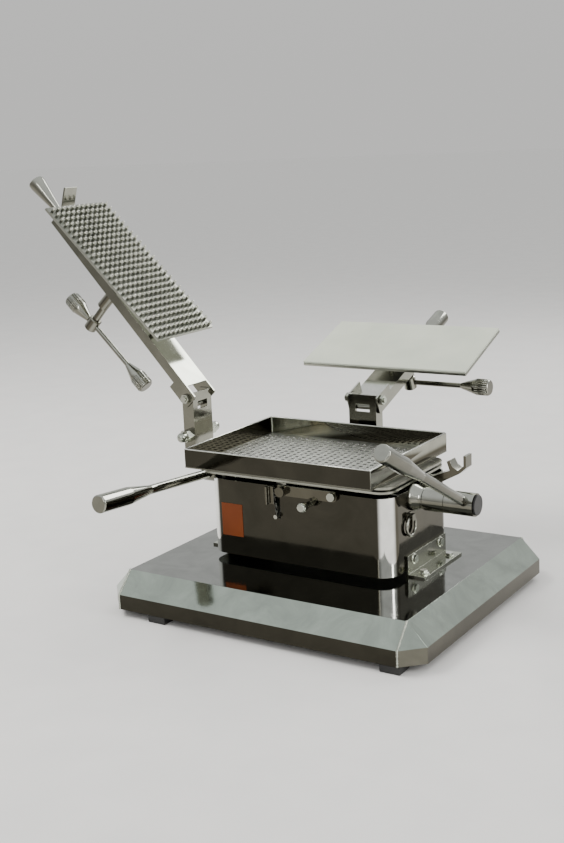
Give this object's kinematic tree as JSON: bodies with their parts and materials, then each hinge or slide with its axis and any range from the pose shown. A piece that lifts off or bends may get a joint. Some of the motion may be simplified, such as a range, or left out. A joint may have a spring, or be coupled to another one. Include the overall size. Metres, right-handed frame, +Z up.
{
  "type": "capsule filler",
  "caption": "Hand-operated capsule filling press on a sloped base, with a perforated powder tray, a hinged pin arm, a hinged sealing arm and two side levers",
  "frame": {"origin": "centre of the bounding box on the bench, under the feet", "axes": "+X to the operator's right along the front, +Y to the back, +Z up"},
  "size_m": [0.7728, 0.6982, 0.5996],
  "materials": {
    "polished_steel": "mirror polished stainless steel",
    "bright_steel": "turned bright stainless steel",
    "satin_steel": "satin stainless steel",
    "pad_rubber": "pale grey green sheet rubber",
    "foot_rubber": "black moulded rubber",
    "black_cap": "black plastic",
    "orange_label": "orange plastic film, blank"
  },
  "bodies": {
    "frame": {"frame_bolts": "bright_steel", "base_plinth": "polished_steel", "base_feet": "foot_rubber", "right_bracket": "polished_steel", "left_bracket": "polished_steel", "housing": "polished_steel", "housing_floor": "satin_steel", "bed_pillars": "bright_steel", "bed_screws": "bright_steel", "lower_bed_plate": "satin_steel", "top_bed_plate": "satin_steel", "powder_tray_floor": "polished_steel", "powder_tray_walls": "polished_steel", "left_post": "polished_steel", "back_post": "polished_steel", "left_post_bracket": "polished_steel", "back_post_bracket": "polished_steel", "left_hinge_pin": "bright_steel", "back_hinge_pin": "bright_steel", "stop_rollers": "bright_steel", "left_cross_bolt": "bright_steel", "left_bearing": "polished_steel", "right_bearing": "polished_steel", "latch_keeper": "polished_steel", "latch_pivot": "bright_steel", "front_label": "orange_label", "ring_staple": "polished_steel", "hook_pivot": "bright_steel"},
    "pin_arm": {"pin_arm_channel": "polished_steel", "pin_arm_grip": "polished_steel", "pin_arm_tongue": "polished_steel", "pin_arm_boss": "polished_steel"},
    "pin_press": {"pin_plate": "satin_steel", "pressing_pins": "bright_steel", "pin_guide_rods": "bright_steel"},
    "pin_screw_body": {"pin_screw": "bright_steel"},
    "pin_tommy": {"pin_tommy_bar": "bright_steel"},
    "seal_arm": {"seal_arm_channel": "polished_steel", "seal_arm_grip": "polished_steel", "seal_arm_boss": "polished_steel"},
    "seal_press": {"seal_plate": "satin_steel", "seal_rubber_pad": "pad_rubber", "seal_guide_rods": "bright_steel"},
    "seal_screw_body": {"seal_screw": "bright_steel"},
    "seal_tommy": {"seal_tommy_bar": "bright_steel"},
    "left_lever_set": {"left_shaft": "bright_steel", "left_lever": "polished_steel", "left_grip": "polished_steel"},
    "clamp": {"clamp_plate": "satin_steel"},
    "right_lever_set": {"right_shaft": "bright_steel", "right_sleeve": "polished_steel", "right_sleeve_cap": "black_cap", "right_lever": "polished_steel", "right_grip": "polished_steel"},
    "lift": {"lift_plate": "satin_steel", "lift_pins": "bright_steel"},
    "latch": {"front_latch": "polished_steel"},
    "stop": {"stop_screw": "bright_steel"},
    "hook": {"catch_hook": "polished_steel"},
    "ring": {"pull_ring": "polished_steel"}
  },
  "joints": [
    {"name": "pin_arm_hinge", "type": "hinge", "parent": "frame", "child": "pin_arm", "pos_m": [-0.08588, -0.05647, 0.268], "axis": [0, 1, 0], "range_deg": [0, 136.2]},
    {"name": "pin_press_slide", "type": "slide", "parent": "pin_arm", "child": "pin_press", "axis": [0.6921, 0, 0.7218], "range_m": [0, 0.01]},
    {"name": "pin_screw_turn", "type": "hinge", "parent": "pin_press", "child": "pin_screw_body", "pos_m": [-0.23745, -0.05647, 0.41335], "axis": [0.6921, 0, 0.7218], "range_deg": [0, 900]},
    {"name": "pin_tommy_slide", "type": "slide", "parent": "pin_screw_body", "child": "pin_tommy", "axis": [0.7218, 0, -0.6921], "range_m": [-0.076, 0]},
    {"name": "seal_arm_hinge", "type": "hinge", "parent": "frame", "child": "seal_arm", "pos_m": [0.12612, 0.07952, 0.2515], "axis": [1, 0, 0], "range_deg": [0, 95]},
    {"name": "seal_press_slide", "type": "slide", "parent": "seal_arm", "child": "seal_press", "axis": [0, -0.342, 0.9397], "range_m": [0, 0.01]},
    {"name": "seal_screw_turn", "type": "hinge", "parent": "seal_press", "child": "seal_screw_body", "pos_m": [0.12612, 0.20779, 0.29819], "axis": [0, -0.342, 0.9397], "range_deg": [0, 900]},
    {"name": "seal_tommy_slide", "type": "slide", "parent": "seal_screw_body", "child": "seal_tommy", "axis": [-1, 0, 0], "range_m": [0, 0.076]},
    {"name": "left_lever_turn", "type": "hinge", "parent": "frame", "child": "left_lever_set", "pos_m": [-0.03788, -0.08897, 0.163], "axis": [1, 0, 0], "range_deg": [-60, 15]},
    {"name": "clamp_slide", "type": "slide", "parent": "frame", "child": "clamp", "axis": [0, 1, 0], "range_m": [-0.0017, 0.0005]},
    {"name": "right_lever_turn", "type": "hinge", "parent": "frame", "child": "right_lever_set", "pos_m": [0.36612, -0.08897, 0.163], "axis": [1, 0, 0], "range_deg": [0, 48]},
    {"name": "lift_slide", "type": "slide", "parent": "frame", "child": "lift", "axis": [0, 0, 1], "range_m": [0, 0.0029]},
    {"name": "front_latch_turn", "type": "hinge", "parent": "frame", "child": "latch", "pos_m": [0.20412, -0.15998, 0.172], "axis": [0, 1, 0], "range_deg": [0, 6]},
    {"name": "stop_screw_turn", "type": "hinge", "parent": "frame", "child": "stop", "pos_m": [0.16712, -0.16398, 0.157], "axis": [0, -1, 0], "continuous": true},
    {"name": "catch_hook_swing", "type": "hinge", "parent": "frame", "child": "hook", "pos_m": [0.29612, -0.05697, 0.178], "axis": [0, 1, 0], "range_deg": [-30, 30]},
    {"name": "pull_ring_swing", "type": "hinge", "parent": "frame", "child": "ring", "pos_m": [0.29092, -0.10297, 0.1395], "axis": [0, -1, 0], "range_deg": [0, 85]}
  ],
  "couplings": [
    {"joint": "pin_press_slide", "follows": "pin_screw_turn", "m_per_rad": 0.00063662},
    {"joint": "seal_press_slide", "follows": "seal_screw_turn", "m_per_rad": 0.00063662},
    {"joint": "clamp_slide", "follows": "left_lever_turn", "m_per_rad": 0.0015279},
    {"joint": "lift_slide", "follows": "right_lever_turn", "m_per_rad": 0.0033423}
  ]
}
